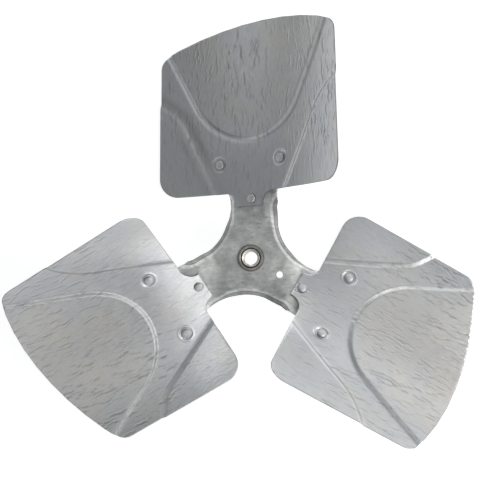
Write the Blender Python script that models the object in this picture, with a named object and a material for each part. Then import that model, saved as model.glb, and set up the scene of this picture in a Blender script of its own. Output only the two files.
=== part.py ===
"""Three-blade axial fan rotor: pressed sheet blades riveted to a stamped three-arm spider.

The shaft bore lies along Z, and +Z points to the side that the rivet heads are on.
Z = 0 is the front face of the spider's flat centre. Blade 1 points along +Y.
"""

import math

import bmesh
import bpy
import numpy as np
from mathutils import Matrix, Vector
from mathutils.geometry import delaunay_2d_cdt

# Driving dimensions, in metres and degrees
BLADES = 3
GAP = 0.0003

BLADE_SHEET = 0.0012
SPIDER_SHEET = 0.0020
PITCH = 30.0
BEND_RADIUS = 0.2555

LEADING_EDGE = -0.0950
TRAILING_EDGE_ROOT = 0.1143
TRAILING_EDGE_TIP = 0.1071
TRAILING_ROOT_OUT = 0.0779
TRAILING_TIP_OUT = 0.2043
INNER_EDGE = 0.0629
INNER_EDGE_SLOPE = 0.035
TIP_ARC_CENTRE = (0.0234, -0.0131)
TIP_ARC_RADIUS = 0.2399
TIP_CORNER_BEYOND = 0.0075
CORNER_INNER = 0.0185
CORNER_TIP = 0.0135
NECK_HALF_WIDTH = 0.0139
NECK_END = 0.0498
NECK_FILLET = 0.0122

EMBOSS_HEIGHT = 0.0025
RAMP_WIDTH = 0.0048
V_HALF_ANGLE = 28.0
V_APEX = 0.0409
V_FILLET = 0.0645
WING_START = (0.0385, 0.0657)
WING_CORNER = (0.0751, 0.1377)
WING_OUTER_SLOPE = 0.66
WING_FILLET = 0.040
WING_RUN_IN = 0.008
WING_RUN_OUT = 0.055
FIELD_REACH = 0.230

OUTER_RIVETS = ((-0.0333, 0.0904), (0.0354, 0.0934))
ROOT_RIVET = (0.0018, 0.0566)
RIVET_HEAD_RADIUS = 0.0043
RIVET_HEAD_HEIGHT = 0.0021
RIVET_TAIL_RADIUS = 0.0037
RIVET_TAIL_HEIGHT = 0.0016
RIVET_TAIL_FLAT = 0.0023
RIVET_TAIL_SHOULDER = 0.0007
RIVET_HEAD_EDGE = 0.0004
RIVET_SHANK_RADIUS = 0.0024
RIVET_HOLE_RADIUS = RIVET_SHANK_RADIUS + GAP
BEAD_RADIUS = 0.0073
BEAD_HALF_WIDTH = 0.0007
BEAD_HEIGHT = 0.0005

GAP_CIRCLE_DISTANCE = 0.0829
GAP_CIRCLE_RADIUS = 0.0479
GAP_CIRCLE_TURN = 2.7
SCALLOP_SWEEP = 46.0
TWIST_START = 0.0360
TWIST_END = 0.0498
PAD_TIP = 0.1035
PAD_CORNER = 0.007
PAD_CORNER_REACH = 0.0122
PAD_MARGIN = 0.0050
RIM_INSETS = (0.0012, 0.0028, 0.0052)
RIM_WIDTH = 0.0052
RIM_DROP = 0.0040
RIM_FADE = (0.047, 0.060)
RIM_CURVE = 1.8
RIM_SWEEP = 69.0

BORE_RADIUS = 0.00635
HUB_FLANGE_RADIUS = 0.0119
HUB_FLANGE_TOP = 0.0016
HUB_LIP_TOP = 0.0021
HUB_NECK_RADIUS = 0.0084
HUB_BARREL_RADIUS = 0.0111
HUB_BACK = -0.0152
HUB_CHAMFER = 0.0006
HUB_EDGE = 0.0004
HUB_GROOVE_OUTER = 0.0097
HUB_GROOVE_MIDDLE = 0.0092
HUB_GROOVE_INNER = 0.0087
HUB_GROOVE_DEPTH = 0.0007
HUB_LIP_RADIUS = 0.0083
HUB_DISH = 0.0008
SPIDER_HOLE_RADIUS = HUB_NECK_RADIUS + GAP
INDEX_HOLE_RADIUS = 0.003175
INDEX_HOLE_DISTANCE = 0.03175

SCREW_RADIUS = 0.0030
SCREW_HEIGHT = -0.0088
SCREW_ANGLE = 30.0
SCREW_POINT = 0.0066
SCREW_POINT_RADIUS = 0.0021
SCREW_HEAD_START = 0.0120
SCREW_HEAD_LENGTH = 0.0060
SCREW_HEAD_HALF = 0.0037
SCREW_HEAD_CHAMFER = 0.0007
SCREW_POINT_LENGTH = 0.0012
SCREW_HOLE_START = 0.0040
SCREW_HOLE_END = 0.0140

ROUND_SIDES = 32
RIVET_SIDES = 16
HOLE_SIDES = 12
BEAD_SIDES = 20
GENERATOR_STEP = 0.012
GENERATOR_ENDS = (0.04, 0.25)
ARM_COLUMNS = 5
ARM_LINE_STEP = 0.009
TWIST_ROWS = 4
PAD_ROWS = 7
SCALLOP_SIDES = 8
PAD_SIDES = 10
RIM_SIDES = 12
MERGE = 0.0001


def clear_scene():
    for item in list(bpy.data.objects):
        bpy.data.objects.remove(item, do_unlink=True)


def make_material(name, colour, metallic, roughness):
    material = bpy.data.materials.new(name)
    material.use_nodes = True
    shader = material.node_tree.nodes["Principled BSDF"]
    shader.inputs["Base Color"].default_value = (*colour, 1.0)
    shader.inputs["Metallic"].default_value = metallic
    shader.inputs["Roughness"].default_value = roughness
    return material


def add_object(name, mesh, material):
    item = bpy.data.objects.new(name, mesh)
    bpy.context.scene.collection.objects.link(item)
    mesh.materials.append(material)
    return item


# Flat outlines

def direction(point_a, point_b):
    step = np.subtract(point_b, point_a)
    return step / np.linalg.norm(step)


def fillet(before, corner, after, radius, sides):
    """Points of the arc that rounds a corner between two straight runs."""
    towards_before = direction(corner, before)
    towards_after = direction(corner, after)
    cosine = float(np.clip(np.dot(towards_before, towards_after), -1.0, 1.0))
    half = math.acos(cosine) / 2.0
    reach = radius / math.tan(half)
    bisector = towards_before + towards_after
    bisector /= np.linalg.norm(bisector)
    centre = np.add(corner, bisector * radius / math.sin(half))
    first = np.add(corner, towards_before * reach) - centre
    last = np.add(corner, towards_after * reach) - centre
    start = math.atan2(first[1], first[0])
    sweep = math.atan2(last[1], last[0]) - start
    sweep = (sweep + math.pi) % (2.0 * math.pi) - math.pi
    angles = [start + sweep * i / sides for i in range(sides + 1)]
    return [(centre[0] + radius * math.cos(a), centre[1] + radius * math.sin(a)) for a in angles]


def rounded_outline(corners):
    """A closed outline from (s, v, radius, sides) corners."""
    points = []
    for index, (s, v, radius, sides) in enumerate(corners):
        before = corners[index - 1][:2]
        after = corners[(index + 1) % len(corners)][:2]
        if radius > 0.0:
            points += fillet(before, (s, v), after, radius, sides)
        else:
            points.append((s, v))
    return points


def circle(centre, radius, sides):
    angles = [2.0 * math.pi * i / sides for i in range(sides)]
    return [(centre[0] + radius * math.cos(a), centre[1] + radius * math.sin(a)) for a in angles]


def offset_path(path, distance):
    """An open path moved sideways, to its left when distance is positive."""
    points = np.array(path)
    steps = np.diff(points, axis=0)
    steps /= np.linalg.norm(steps, axis=1)[:, None]
    tangents = np.vstack([steps[:1], steps[:-1] + steps[1:], steps[-1:]])
    tangents /= np.linalg.norm(tangents, axis=1)[:, None]
    normals = np.column_stack([-tangents[:, 1], tangents[:, 0]])
    return [tuple(point) for point in points + normals * distance]


def signed_distance(path, point):
    """Distance from a point to an open path, positive on the path's left."""
    start = np.array(path[:-1])
    step = np.array(path[1:]) - start
    away = np.array(point) - start
    along = np.clip((away * step).sum(axis=1) / (step * step).sum(axis=1), 0.0, 1.0)
    rest = away - step * along[:, None]
    lengths = np.linalg.norm(rest, axis=1)
    nearest = int(lengths.argmin())
    side = step[nearest][0] * away[nearest][1] - step[nearest][1] * away[nearest][0]
    return math.copysign(float(lengths[nearest]), side)


def inside(polygon, point):
    """True where a point lies in a polygon."""
    x, y = point
    result = False
    for index, (x1, y1) in enumerate(polygon):
        x0, y0 = polygon[index - 1]
        if (y0 > y) != (y1 > y) and x < x0 + (x1 - x0) * (y - y0) / (y1 - y0):
            result = not result
    return result


def triangulate(outline, holes, paths):
    """Counter-clockwise triangles of a flat outline with holes, which also follow the given paths."""
    points = []
    edges = []
    for ring in [outline, *holes]:
        first = len(points)
        points += ring
        edges += [(first + i, first + (i + 1) % len(ring)) for i in range(len(ring))]
    for path in paths:
        first = len(points)
        points += path
        edges += [(first + i, first + i + 1) for i in range(len(path) - 1)]
    flat, _, faces, *_ = delaunay_2d_cdt([Vector(p) for p in points], edges, [], 0, MERGE)
    kept = []
    for face in faces:
        middle = sum((flat[i] for i in face), Vector((0.0, 0.0))) / len(face)
        if not inside(outline, middle) or any(inside(hole, middle) for hole in holes):
            continue
        counter_clockwise = (flat[face[1]] - flat[face[0]]).cross(flat[face[2]] - flat[face[0]]) > 0.0
        kept.append(list(face) if counter_clockwise else list(reversed(face)))
    return [tuple(p) for p in flat], kept


def sheet_mesh(name, points, faces):
    """A mesh of one open sheet, its faces counter-clockwise seen from the front."""
    model = bmesh.new()
    vertices = [model.verts.new(point) for point in points]
    for face in faces:
        model.faces.new([vertices[i] for i in face])
    loose = [vertex for vertex in model.verts if not vertex.link_faces]
    bmesh.ops.delete(model, geom=loose, context="VERTS")
    mesh = bpy.data.meshes.new(name)
    model.to_mesh(mesh)
    model.free()
    return mesh


def thicken(item, thickness):
    solidify = item.modifiers.new("sheet_thickness", "SOLIDIFY")
    solidify.thickness = thickness
    solidify.offset = -1.0


# The bent section: an arc that every blade and the outer end of every arm follow

def bent_section(s, lift, turn):
    """Place across the arm and height of a point, with turn 0 flat and 1 fully pitched."""
    if turn < 1e-6:
        return s, lift, 0.0
    pitch = math.radians(PITCH) * turn
    radius = BEND_RADIUS / turn
    angle = pitch + s / (radius - lift)
    across = -radius * math.sin(pitch) + (radius - lift) * math.sin(angle)
    height = radius * math.cos(pitch) - (radius - lift) * math.cos(angle)
    return across, height, angle


def arm_turn(index):
    """Rotation that carries blade 1's place to that of another blade."""
    return Matrix.Rotation(-2.0 * math.pi * index / BLADES, 4, "Z")


# Blades

def v_path():
    """Middle of the ramp round the raised outer field: two arms and a round bottom."""
    half = math.radians(V_HALF_ANGLE)
    spread = (FIELD_REACH - V_APEX) * math.tan(half)
    left = (-spread, FIELD_REACH)
    right = (spread, FIELD_REACH)
    return [left, *fillet(left, (0.0, V_APEX), right, V_FILLET, 10), right]


def wing_path(side):
    """Middle of the ramp along a raised wing, from the inner edge out to the side edge."""
    slope = (WING_CORNER[1] - WING_START[1]) / (WING_CORNER[0] - WING_START[0])
    start = (WING_START[0] - WING_RUN_IN, WING_START[1] - WING_RUN_IN * slope)
    end = (WING_CORNER[0] + WING_RUN_OUT, WING_CORNER[1] + WING_RUN_OUT * WING_OUTER_SLOPE)
    path = [start, *fillet(start, WING_CORNER, end, WING_FILLET, 5), end]
    if side > 0:
        return path
    return [(-s, v) for s, v in reversed(path)]


def blade_outline():
    """The flat blank, counter-clockwise from the root end of the leading edge."""
    leading_v = INNER_EDGE + INNER_EDGE_SLOPE * LEADING_EDGE
    neck_left_v = INNER_EDGE - INNER_EDGE_SLOPE * NECK_HALF_WIDTH
    neck_right_v = INNER_EDGE + INNER_EDGE_SLOPE * NECK_HALF_WIDTH
    trailing_v = INNER_EDGE + INNER_EDGE_SLOPE * TRAILING_EDGE_ROOT
    taper = (TRAILING_EDGE_TIP - TRAILING_EDGE_ROOT) / (TRAILING_TIP_OUT - TRAILING_ROOT_OUT)
    trailing_root_s = TRAILING_EDGE_ROOT + taper * (trailing_v - TRAILING_ROOT_OUT)
    centre_s, centre_v = TIP_ARC_CENTRE
    tip_s = TRAILING_EDGE_TIP + taper * TIP_CORNER_BEYOND
    first = math.acos((tip_s - centre_s) / TIP_ARC_RADIUS)
    last = math.acos((LEADING_EDGE - centre_s) / TIP_ARC_RADIUS)
    steps = 9
    tip = []
    for i in range(steps + 1):
        angle = first + (last - first) * i / steps
        radius = CORNER_TIP if i in (0, steps) else 0.0
        s = centre_s + TIP_ARC_RADIUS * math.cos(angle)
        v = centre_v + TIP_ARC_RADIUS * math.sin(angle)
        tip.append((s, v, radius, 5))
    return rounded_outline([
        (LEADING_EDGE, leading_v, CORNER_INNER, 6),
        (-NECK_HALF_WIDTH, neck_left_v, NECK_FILLET, 6),
        (-NECK_HALF_WIDTH, NECK_END, 0.0, 0),
        (NECK_HALF_WIDTH, NECK_END, 0.0, 0),
        (NECK_HALF_WIDTH, neck_right_v, NECK_FILLET, 6),
        (trailing_root_s, trailing_v, CORNER_INNER, 6),
        *tip,
    ])


def blade_lift(s, v, fields):
    """Height of the pressed relief over the low channel."""
    lift = 0.0
    for path in fields:
        share = 0.5 + signed_distance(path, (s, v)) / RAMP_WIDTH
        lift = max(lift, EMBOSS_HEIGHT * min(max(share, 0.0), 1.0))
    for centre in OUTER_RIVETS:
        distance = abs(math.dist(centre, (s, v)) - BEAD_RADIUS)
        lift = max(lift, BEAD_HEIGHT * (1.0 - distance / BEAD_HALF_WIDTH))
    return lift


def blade_mesh():
    # Each raised field lies on the left of its path
    right_wing = [tuple(p) for p in reversed(wing_path(1))]
    left_wing = [tuple(p) for p in reversed(wing_path(-1))]
    fields = [v_path(), right_wing, left_wing]
    ramps = [offset_path(path, side * RAMP_WIDTH / 2.0) for path in fields for side in (-1, 1)]
    first = math.ceil(LEADING_EDGE / GENERATOR_STEP)
    last = math.floor(TRAILING_EDGE_ROOT / GENERATOR_STEP)
    generators = []
    for i in range(first, last + 1):
        generators.append([(i * GENERATOR_STEP, v) for v in GENERATOR_ENDS])
    holes = [circle(centre, RIVET_HOLE_RADIUS, HOLE_SIDES) for centre in (*OUTER_RIVETS, ROOT_RIVET)]
    beads = []
    for centre in OUTER_RIVETS:
        for radius in (BEAD_RADIUS - BEAD_HALF_WIDTH, BEAD_RADIUS, BEAD_RADIUS + BEAD_HALF_WIDTH):
            ring = circle(centre, radius, BEAD_SIDES)
            beads.append([*ring, ring[0]])
    flat, faces = triangulate(blade_outline(), holes, ramps + generators + beads)
    points = []
    for s, v in flat:
        lift = GAP + BLADE_SHEET + blade_lift(s, v, fields)
        across, height, _ = bent_section(s, lift, 1.0)
        points.append((across, v, height))
    return sheet_mesh("blade_sheet", points, faces)


def build_blades(material):
    mesh = blade_mesh()
    for index in range(BLADES):
        copy = mesh if index == 0 else mesh.copy()
        blade = add_object(f"blade_{index + 1}", copy, material)
        blade.matrix_world = arm_turn(index)
        thicken(blade, BLADE_SHEET)


# Spider

def smooth_step(value, low, high):
    share = min(max((value - low) / (high - low), 0.0), 1.0)
    return share * share * (3.0 - 2.0 * share)


def gap_circle_centre(side):
    """Centre of the scallop on the right (1) or left (-1) of arm 1."""
    angle = math.radians(90.0 - side * 60.0 - GAP_CIRCLE_TURN)
    return GAP_CIRCLE_DISTANCE * math.cos(angle), GAP_CIRCLE_DISTANCE * math.sin(angle)


def scallop_edge(side, v, radius):
    """Place across the arm of a scallop at one distance out along the arm."""
    centre_s, centre_v = gap_circle_centre(side)
    return centre_s - side * math.sqrt(radius ** 2 - (v - centre_v) ** 2)


def pad_limit(v):
    """Half-width that keeps the pad inside the blade's low channel."""
    slope = (WING_CORNER[1] - WING_START[1]) / (WING_CORNER[0] - WING_START[0])
    return WING_START[0] + (v - WING_START[1]) / slope - PAD_MARGIN


def arm_side(side):
    """One side of arm 1, from the middle of the gap out to the top of the pad."""
    radius = GAP_CIRCLE_RADIUS
    centre_s, centre_v = gap_circle_centre(side)
    middle = math.atan2(-centre_v, -centre_s)
    sweep = math.radians(-side * SCALLOP_SWEEP)
    points = []
    for i in range(SCALLOP_SIDES + 1):
        angle = middle + sweep * i / SCALLOP_SIDES
        points.append((centre_s + radius * math.cos(angle), centre_v + radius * math.sin(angle)))
    start_v = points[-1][1]
    end_v = PAD_TIP - PAD_CORNER_REACH
    for i in range(1, PAD_SIDES + 1):
        v = start_v + (end_v - start_v) * i / PAD_SIDES
        wide = pad_limit(v)
        if abs(v - centre_v) < radius:
            wide = min(wide, abs(scallop_edge(side, v, radius)))
        points.append((side * wide, v))
    below = (side * pad_limit(WING_START[1]), WING_START[1])
    corner = (side * pad_limit(PAD_TIP), PAD_TIP)
    return points + fillet(below, corner, (0.0, PAD_TIP), PAD_CORNER, 5)


def spider_outline():
    outline = []
    for index in range(BLADES):
        turn = arm_turn(index)
        ring = arm_side(-1)[1:] + arm_side(1)[::-1]
        outline += [tuple((turn @ Vector((s, v, 0.0))).xy) for s, v in ring]
    return outline[::-1]


def rim_paths():
    """Lines along the rolled edge of each scallop, at the insets where its section turns."""
    paths = []
    for index in range(BLADES):
        centre = arm_turn(index) @ Vector((*gap_circle_centre(1), 0.0))
        middle = math.atan2(-centre.y, -centre.x)
        for inset in RIM_INSETS:
            radius = GAP_CIRCLE_RADIUS + inset
            path = []
            for step in range(-RIM_SIDES, RIM_SIDES + 1):
                angle = middle + math.radians(RIM_SWEEP) * step / RIM_SIDES
                path.append((centre.x + radius * math.cos(angle), centre.y + radius * math.sin(angle)))
            paths.append(path)
    return paths


def arm_lines():
    """Lines that run out along each arm, so that the mesh follows its twist and its bend."""
    lines = []
    rows = [TWIST_START + (TWIST_END - TWIST_START) * i / TWIST_ROWS for i in range(TWIST_ROWS)]
    rows += [TWIST_END + (PAD_TIP - TWIST_END) * i / PAD_ROWS for i in range(PAD_ROWS + 1)]
    for index in range(BLADES):
        turn = arm_turn(index)
        for column in range(-ARM_COLUMNS, ARM_COLUMNS + 1):
            line = [Vector((column * ARM_LINE_STEP, v, 0.0)) for v in rows]
            lines.append([tuple((turn @ point).xy) for point in line])
    return lines


def rim_drop(point):
    """How far the rolled edge has turned down at a point of the blank."""
    drop = 0.0
    for index in range(BLADES):
        turn = arm_turn(index)
        centre = turn @ Vector((*gap_circle_centre(1), 0.0))
        inset = math.dist(point, centre.xy) - GAP_CIRCLE_RADIUS
        share = min(max(1.0 - inset / RIM_WIDTH, 0.0), 1.0)
        out = max((arm_turn(k).inverted() @ Vector((*point, 0.0))).y for k in range(BLADES))
        fade = 1.0 - smooth_step(out, *RIM_FADE)
        drop = max(drop, RIM_DROP * share ** RIM_CURVE * fade)
    return drop


def spider_point(point):
    """A point of the flat blank carried to its place on the twisted spider."""
    locals_ = [arm_turn(k).inverted() @ Vector((*point, 0.0)) for k in range(BLADES)]
    index = max(range(BLADES), key=lambda k: locals_[k].y)
    s, v = locals_[index].xy
    turn = smooth_step(v, TWIST_START, TWIST_END)
    across, height, _ = bent_section(s, -rim_drop(point), turn)
    return arm_turn(index) @ Vector((across, v, height))


def build_spider(material):
    holes = [circle((0.0, 0.0), SPIDER_HOLE_RADIUS, ROUND_SIDES)]
    index_place = arm_turn(1) @ Vector((0.0, INDEX_HOLE_DISTANCE, 0.0))
    holes.append(circle(index_place.xy, INDEX_HOLE_RADIUS, HOLE_SIDES))
    for index in range(BLADES):
        for place in (*OUTER_RIVETS, ROOT_RIVET):
            centre = arm_turn(index) @ Vector((*place, 0.0))
            holes.append(circle(centre.xy, RIVET_HOLE_RADIUS, HOLE_SIDES))
    flat, faces = triangulate(spider_outline(), holes, rim_paths() + arm_lines())
    points = [spider_point(point) for point in flat]
    spider = add_object("spider", sheet_mesh("spider_sheet", points, faces), material)
    thicken(spider, SPIDER_SHEET)


# Turned pieces

def ring_points(radius, height, sides, square=False):
    """Points round Z at one height, on a circle or on a square of that half-width."""
    points = []
    for i in range(sides):
        angle = 2.0 * math.pi * i / sides
        reach = radius
        if square:
            reach = radius / max(abs(math.cos(angle)), abs(math.sin(angle)))
        points.append((reach * math.cos(angle), reach * math.sin(angle), height))
    return points


def lofted_mesh(name, sections):
    """A closed solid through rings of points; a ring of one point closes an end on the axis."""
    model = bmesh.new()
    rings = [[model.verts.new(point) for point in section] for section in sections]
    pairs = list(zip(rings, rings[1:]))
    if len(rings[0]) > 1:
        pairs.append((rings[-1], rings[0]))
    for lower, upper in pairs:
        sides = max(len(lower), len(upper))
        for i in range(sides):
            k = (i + 1) % sides
            below = [lower[i % len(lower)], lower[k % len(lower)]]
            above = [upper[k % len(upper)], upper[i % len(upper)]]
            model.faces.new(list(dict.fromkeys(below + above)))
    bmesh.ops.recalc_face_normals(model, faces=model.faces)
    mesh = bpy.data.meshes.new(name)
    model.to_mesh(mesh)
    model.free()
    return mesh


def turned_mesh(name, profile, sides):
    """A closed solid turned about Z from (radius, height) points."""
    sections = []
    for radius, height in profile:
        on_axis = radius < 1e-9
        sections.append([(0.0, 0.0, height)] if on_axis else ring_points(radius, height, sides))
    return lofted_mesh(name, sections)


def rivet_profile():
    back = -SPIDER_SHEET - GAP
    front = BLADE_SHEET + 2.0 * GAP
    tail = [
        (0.0, back - RIVET_TAIL_HEIGHT),
        (RIVET_TAIL_FLAT, back - RIVET_TAIL_HEIGHT),
        (RIVET_TAIL_RADIUS, back - RIVET_TAIL_SHOULDER),
        (RIVET_TAIL_RADIUS, back),
    ]
    shank = [(RIVET_SHANK_RADIUS, back), (RIVET_SHANK_RADIUS, front)]
    crown = RIVET_HEAD_HEIGHT - RIVET_HEAD_EDGE
    head = []
    for degrees in (0.0, 25.0, 50.0, 75.0):
        angle = math.radians(degrees)
        radius = RIVET_HEAD_RADIUS * math.cos(angle)
        head.append((radius, front + RIVET_HEAD_EDGE + crown * math.sin(angle)))
    return tail + shank + [(RIVET_HEAD_RADIUS, front), *head, (0.0, front + RIVET_HEAD_HEIGHT)]


def build_rivets(material):
    mesh = turned_mesh("rivet", rivet_profile(), RIVET_SIDES)
    places = {"root": ROOT_RIVET, "leading": OUTER_RIVETS[0], "trailing": OUTER_RIVETS[1]}
    for index in range(BLADES):
        for label, (s, v) in places.items():
            across, height, angle = bent_section(s, 0.0, 1.0)
            rivet = add_object(f"rivet_{label}_{index + 1}", mesh.copy(), material)
            tilt = Matrix.Rotation(-angle, 4, "Y")
            rivet.matrix_world = arm_turn(index) @ Matrix.Translation((across, v, height)) @ tilt


def hub_profile():
    return [
        (BORE_RADIUS, HUB_BACK + HUB_CHAMFER),
        (BORE_RADIUS + HUB_CHAMFER, HUB_BACK),
        (HUB_BARREL_RADIUS - HUB_CHAMFER, HUB_BACK),
        (HUB_BARREL_RADIUS, HUB_BACK + HUB_CHAMFER),
        (HUB_BARREL_RADIUS, -SPIDER_SHEET - GAP),
        (HUB_NECK_RADIUS, -SPIDER_SHEET - GAP),
        (HUB_NECK_RADIUS, GAP),
        (HUB_FLANGE_RADIUS, GAP),
        (HUB_FLANGE_RADIUS, HUB_FLANGE_TOP - HUB_EDGE),
        (HUB_FLANGE_RADIUS - HUB_EDGE, HUB_FLANGE_TOP),
        (HUB_GROOVE_OUTER, HUB_FLANGE_TOP),
        (HUB_GROOVE_MIDDLE, HUB_FLANGE_TOP - HUB_GROOVE_DEPTH),
        (HUB_GROOVE_INNER, HUB_LIP_TOP - HUB_EDGE),
        (HUB_LIP_RADIUS, HUB_LIP_TOP),
        (BORE_RADIUS, HUB_FLANGE_TOP - HUB_DISH),
    ]


def set_screw_mesh():
    """A square-headed screw along Z, its point towards the bore."""
    sides = RIVET_SIDES
    end = SCREW_HEAD_START + SCREW_HEAD_LENGTH
    return lofted_mesh("set_screw", [
        [(0.0, 0.0, SCREW_POINT)],
        ring_points(SCREW_POINT_RADIUS, SCREW_POINT, sides),
        ring_points(SCREW_RADIUS, SCREW_POINT + SCREW_POINT_LENGTH, sides),
        ring_points(SCREW_RADIUS, SCREW_HEAD_START, sides),
        ring_points(SCREW_HEAD_HALF, SCREW_HEAD_START, sides, square=True),
        ring_points(SCREW_HEAD_HALF, end - SCREW_HEAD_CHAMFER, sides, square=True),
        ring_points(SCREW_HEAD_HALF - SCREW_HEAD_CHAMFER, end, sides, square=True),
        [(0.0, 0.0, end)],
    ])


def build_hub(hub_material, screw_material):
    hub = add_object("hub_bushing", turned_mesh("hub_bushing", hub_profile(), ROUND_SIDES), hub_material)
    along = Matrix.Rotation(math.radians(SCREW_ANGLE), 4, "Z") @ Matrix.Rotation(math.radians(90.0), 4, "Y")
    place = Matrix.Translation((0.0, 0.0, SCREW_HEIGHT)) @ along

    wide = SCREW_RADIUS + GAP
    hole = [(0.0, SCREW_HOLE_START), (wide, SCREW_HOLE_START), (wide, SCREW_HOLE_END), (0.0, SCREW_HOLE_END)]
    cutter = add_object("set_screw_hole", turned_mesh("set_screw_hole", hole, RIVET_SIDES), screw_material)
    cutter.matrix_world = place
    cutter.hide_render = True
    cutter.display_type = "WIRE"
    cut = hub.modifiers.new("set_screw_hole", "BOOLEAN")
    cut.object = cutter
    cut.operation = "DIFFERENCE"
    cut.solver = "EXACT"

    screw = add_object("set_screw", set_screw_mesh(), screw_material)
    screw.matrix_world = place


def main():
    clear_scene()
    aluminium = make_material("blade_sheet", (0.62, 0.64, 0.66), 0.9, 0.42)
    plated = make_material("spider_plate", (0.52, 0.54, 0.54), 0.85, 0.48)
    rivet = make_material("rivet_metal", (0.60, 0.61, 0.62), 0.9, 0.4)
    bushing = make_material("bushing_steel", (0.46, 0.45, 0.42), 0.9, 0.4)
    screw = make_material("screw_steel", (0.25, 0.25, 0.26), 0.9, 0.45)
    build_spider(plated)
    build_blades(aluminium)
    build_rivets(rivet)
    build_hub(bushing, screw)


main()
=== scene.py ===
"""Looks of the three-blade axial fan rotor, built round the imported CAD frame.

Every piece here stands for one CAD node. It is drawn from the same flat blanks as the
CAD, with a finer mesh, rounded creases and a pressed grain. Sizes are in metres and
angles in degrees. A place (s, v) in a flat blank is s across the arm and v out along it.
"""

import math

import bpy
import numpy as np
from mathutils import Matrix, Quaternion, Vector
from mathutils.geometry import delaunay_2d_cdt


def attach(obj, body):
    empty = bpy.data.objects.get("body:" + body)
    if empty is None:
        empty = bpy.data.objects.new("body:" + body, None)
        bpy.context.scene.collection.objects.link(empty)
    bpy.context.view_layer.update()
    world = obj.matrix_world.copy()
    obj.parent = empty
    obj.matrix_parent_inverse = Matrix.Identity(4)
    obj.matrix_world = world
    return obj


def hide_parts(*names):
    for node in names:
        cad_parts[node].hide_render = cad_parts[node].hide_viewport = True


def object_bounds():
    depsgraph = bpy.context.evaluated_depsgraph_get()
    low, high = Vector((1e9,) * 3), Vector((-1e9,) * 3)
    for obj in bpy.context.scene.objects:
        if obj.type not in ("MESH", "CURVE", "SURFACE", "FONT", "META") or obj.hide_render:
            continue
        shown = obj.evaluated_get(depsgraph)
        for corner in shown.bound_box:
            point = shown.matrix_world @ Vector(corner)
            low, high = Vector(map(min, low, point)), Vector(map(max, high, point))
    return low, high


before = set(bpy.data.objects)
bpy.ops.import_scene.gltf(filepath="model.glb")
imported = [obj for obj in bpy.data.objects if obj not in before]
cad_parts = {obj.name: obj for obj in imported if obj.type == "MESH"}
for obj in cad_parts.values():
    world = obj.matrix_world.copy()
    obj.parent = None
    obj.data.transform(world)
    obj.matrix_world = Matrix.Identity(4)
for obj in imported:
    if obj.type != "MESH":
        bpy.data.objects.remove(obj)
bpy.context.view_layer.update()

# The photograph's camera: sensor in mm, distance and offset in pixels, tilt and roll in radians
SENSOR = 36.0
PHOTO_WIDTH = 480
PIXEL = 0.00095
VIEW_CENTRE_HEIGHT = 0.00145
VIEW_DISTANCE = 1206.2
VIEW_OFFSET = (10.67, -17.87)
VIEW_TILT = (-0.0663, -0.0549, 0.0)
VIEW_ROLL = 0.0010

# Sheets
BLADES = 3
GAP = 0.0003
BLADE_SHEET = 0.0012
SPIDER_SHEET = 0.0020
PITCH = 30.0
BEND_RADIUS = 0.2555
EDGE_ROUND = 0.00030
EDGE_DROP = 0.00018
BACK_EDGE_DROP_SHARE = 0.5

# Blade blank
LEADING_EDGE = -0.0950
TRAILING_EDGE_ROOT = 0.1143
TRAILING_EDGE_TIP = 0.1071
TRAILING_ROOT_OUT = 0.0779
TRAILING_TIP_OUT = 0.2043
INNER_EDGE = 0.0629
INNER_EDGE_SLOPE = 0.035
TIP_ARC_CENTRE = (0.0234, -0.0131)
TIP_ARC_RADIUS = 0.23988
TIP_ARC_STEPS = 9
TIP_CORNER_BEYOND = 0.0075
CORNER_INNER = 0.0185
CORNER_TIP = 0.0135
NECK_HALF_WIDTH = 0.0139
NECK_END = 0.0498
NECK_FILLET = 0.0122

# Pressed relief of the blade
EMBOSS_HEIGHT = 0.0025
RAMP_WIDTH = 0.0048
RAMP_ROUNDING = 0.11
WING_HEIGHT = 0.0017
WING_RAMP_WIDTH = 0.0038
FIELD_GROWTH = (0.115, 0.185)
FIELD_SHARE_AT_APEX = 0.70
V_HALF_ANGLE = 28.0
V_APEX = 0.0409
V_FILLET = 0.0645
WING_START = (0.0385, 0.0657)
WING_CORNER = (0.0751, 0.1377)
WING_OUTER_SLOPE = 0.66
WING_FILLET = 0.040
TRAILING_WING_START = (0.0415, 0.0660)
TRAILING_WING_CORNER = (0.0854, 0.1507)
TRAILING_WING_OUTER_SLOPE = 0.50
TRAILING_WING_FILLET = 0.075
WING_RUN_IN = 0.008
WING_RUN_OUT = 0.055
FIELD_REACH = 0.230

# Bead and dimple round each outer rivet
BEAD_RADIUS = 0.0072
BEAD_HALF_WIDTH = 0.0010
BEAD_HEIGHT = 0.00044
# Painted highlight along each bead, in the blade's colour: its strength and half width
BEAD_HIGHLIGHT = 0.18
BEAD_HIGHLIGHT_HALF_WIDTH = 0.0007
DIMPLE_RADIUS = 0.0054
DIMPLE_HALF_WIDTH = 0.0011
DIMPLE_DEPTH = 0.00036

# Raised fields of the relief: the outer field and the two wings
OUTER = 0
TRAILING = 1
LEADING = 2

# The outer field's warmer tint fades in over these distances from its crease
FIELD_TINT_REACH = (-0.012, 0.030)

# The run of each field's crease that has painted highlight and shade: along s (0) or v (1), and its ends
CREASE_LIGHT_RUNS = ((0, -0.062, 0.070), (1, 0.083, 0.140), (1, 0.083, 0.140))
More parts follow.
